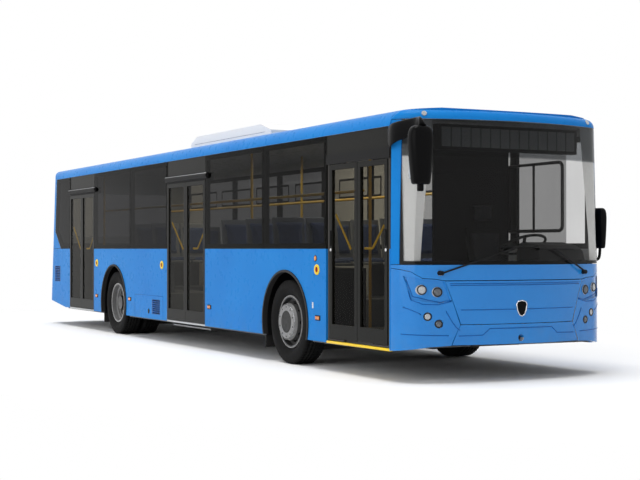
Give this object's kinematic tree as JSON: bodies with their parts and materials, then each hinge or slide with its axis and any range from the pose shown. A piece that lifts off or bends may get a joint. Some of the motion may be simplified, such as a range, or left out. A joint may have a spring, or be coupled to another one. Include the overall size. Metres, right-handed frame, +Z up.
{
  "type": "city bus",
  "caption": "Full-size low-floor city bus with passenger doors on the right, steered front wheels, a swinging front door, service flap, engine lid and a slide-out ramp.",
  "frame": {"origin": "on the ground under the centre of the overall box, mirrors included", "axes": "+X forward, +Y to the vehicle's left, +Z up"},
  "size_m": [12.66, 2.77, 2.8849],
  "materials": {
    "blue_paint": "gloss",
    "black_gloss": "gloss",
    "dark_glass": "gloss",
    "clear_glass": "gloss",
    "black_plastic": "satin",
    "frame_steel": "satin",
    "floor_grey": "matte",
    "interior_grey": "satin",
    "seat_blue": "matte",
    "rail_yellow": "gloss",
    "rim_silver": "satin",
    "tyre_rubber": "matte",
    "rubber": "matte",
    "cast": "rough",
    "ramp_alu": "brushed",
    "unit_white": "satin",
    "lamp_clear": "gloss",
    "lamp_red": "gloss",
    "lamp_amber": "gloss"
  },
  "bodies": {
    "body": {"floor": "floor_grey", "underframe": "frame_steel", "right_lower_panels": "blue_paint", "left_lower_panels": "blue_paint", "right_window_frame": "black_gloss", "left_window_frame": "black_gloss", "side_glass": "dark_glass", "roof_shell": "blue_paint", "front_cap": "blue_paint", "roof_lamps": "lamp_clear", "windscreen": "clear_glass", "front_pillars": "blue_paint", "front_cowl": "blue_paint", "front_corner_panels": "blue_paint", "headlamp_panels": "blue_paint", "headlamps": "lamp_clear", "front_bumper": "blue_paint", "rear_wall": "blue_paint", "rear_window": "dark_glass", "rear_bumper": "blue_paint", "engine_block": "cast", "front_axle": "frame_steel", "rear_axle": "cast", "arch_lips": "rubber", "wheel_houses": "black_plastic", "door_headers": "black_plastic", "plug_door_leaves": "black_gloss", "plug_door_glass": "dark_glass", "seats": "seat_blue", "handrails": "rail_yellow", "dashboard": "black_plastic", "cab_partition": "black_plastic", "destination_sign": "black_plastic", "roof_units": "unit_white", "mirrors": "black_plastic", "wipers": "black_plastic", "side_grilles": "black_plastic", "tail_lamps": "lamp_red", "marker_lamps": "lamp_amber", "ramp_guides": "frame_steel"},
    "left_knuckle": {"front_left_knuckle": "cast"},
    "right_knuckle": {"front_right_knuckle": "cast"},
    "front_left_wheel": {"front_left_tyre": "tyre_rubber", "front_left_rim": "rim_silver"},
    "front_right_wheel": {"front_right_tyre": "tyre_rubber", "front_right_rim": "rim_silver"},
    "rear_left_wheels": {"rear_left_tyre": "tyre_rubber", "rear_left_rim": "rim_silver"},
    "rear_right_wheels": {"rear_right_tyre": "tyre_rubber", "rear_right_rim": "rim_silver"},
    "steering_wheel": {"steering_wheel": "black_plastic"},
    "ramp": {"ramp": "ramp_alu"},
    "front_flap": {"front_flap": "blue_paint"},
    "engine_lid": {"engine_lid": "blue_paint"},
    "door_shaft_front": {"door_shaft_front": "frame_steel"},
    "door_shaft_rear": {"door_shaft_rear": "frame_steel"},
    "door_leaf_front": {"front_door_leaf_front": "black_gloss", "front_door_glass_front": "dark_glass"},
    "door_leaf_rear": {"front_door_leaf_rear": "black_gloss", "front_door_glass_rear": "dark_glass"}
  },
  "joints": [
    {"name": "steer_left", "type": "hinge", "parent": "body", "child": "left_knuckle", "pos_m": [3.28, 0.95, 0.4785], "axis": [0, 0, 1], "range_deg": [-45, 45]},
    {"name": "steer_right", "type": "hinge", "parent": "body", "child": "right_knuckle", "pos_m": [3.28, -0.95, 0.4785], "axis": [0, 0, 1], "range_deg": [-45, 45]},
    {"name": "front_left_spin", "type": "hinge", "parent": "left_knuckle", "child": "front_left_wheel", "pos_m": [3.28, 1.072, 0.4785], "axis": [0, 1, 0], "continuous": true},
    {"name": "front_right_spin", "type": "hinge", "parent": "right_knuckle", "child": "front_right_wheel", "pos_m": [3.28, -1.072, 0.4785], "axis": [0, 1, 0], "continuous": true},
    {"name": "rear_left_spin", "type": "hinge", "parent": "body", "child": "rear_left_wheels", "pos_m": [-2.68, 0.9145, 0.4785], "axis": [0, 1, 0], "continuous": true},
    {"name": "rear_right_spin", "type": "hinge", "parent": "body", "child": "rear_right_wheels", "pos_m": [-2.68, -0.9145, 0.4785], "axis": [0, 1, 0], "continuous": true},
    {"name": "steering_wheel_turn", "type": "hinge", "parent": "body", "child": "steering_wheel", "pos_m": [5.13, 0.71, 1.35], "axis": [-0.4226, 0, 0.9063], "range_deg": [-720, 720]},
    {"name": "ramp_slide", "type": "slide", "parent": "body", "child": "ramp", "axis": [0, -1, 0], "range_m": [0, 0.78]},
    {"name": "front_flap_lift", "type": "hinge", "parent": "body", "child": "front_flap", "pos_m": [6.025, 0, 1.117], "axis": [0, -1, 0], "range_deg": [0, 60]},
    {"name": "engine_lid_lift", "type": "hinge", "parent": "body", "child": "engine_lid", "pos_m": [-6.237, 0, 1.33], "axis": [0, 1, 0], "range_deg": [0, 75]},
    {"name": "door_front_swing", "type": "hinge", "parent": "body", "child": "door_shaft_front", "pos_m": [5.566, -1.22, 1.2], "axis": [0, 0, -1], "range_deg": [0, 90]},
    {"name": "door_rear_swing", "type": "hinge", "parent": "body", "child": "door_shaft_rear", "pos_m": [4.304, -1.22, 1.2], "axis": [0, 0, 1], "range_deg": [0, 90]},
    {"name": "door_front_leaf_turn", "type": "hinge", "parent": "door_shaft_front", "child": "door_leaf_front", "pos_m": [5.239, -1.22, 1.2], "axis": [0, 0, -1], "range_deg": [-180, 0]},
    {"name": "door_rear_leaf_turn", "type": "hinge", "parent": "door_shaft_rear", "child": "door_leaf_rear", "pos_m": [4.631, -1.22, 1.2], "axis": [0, 0, 1], "range_deg": [-180, 0]}
  ],
  "couplings": [
    {"joint": "steer_right", "follows": "steer_left", "ratio": 1},
    {"joint": "steering_wheel_turn", "follows": "steer_left", "ratio": 16},
    {"joint": "door_front_leaf_turn", "follows": "door_front_swing", "ratio": -2},
    {"joint": "door_rear_leaf_turn", "follows": "door_rear_swing", "ratio": -2}
  ]
}
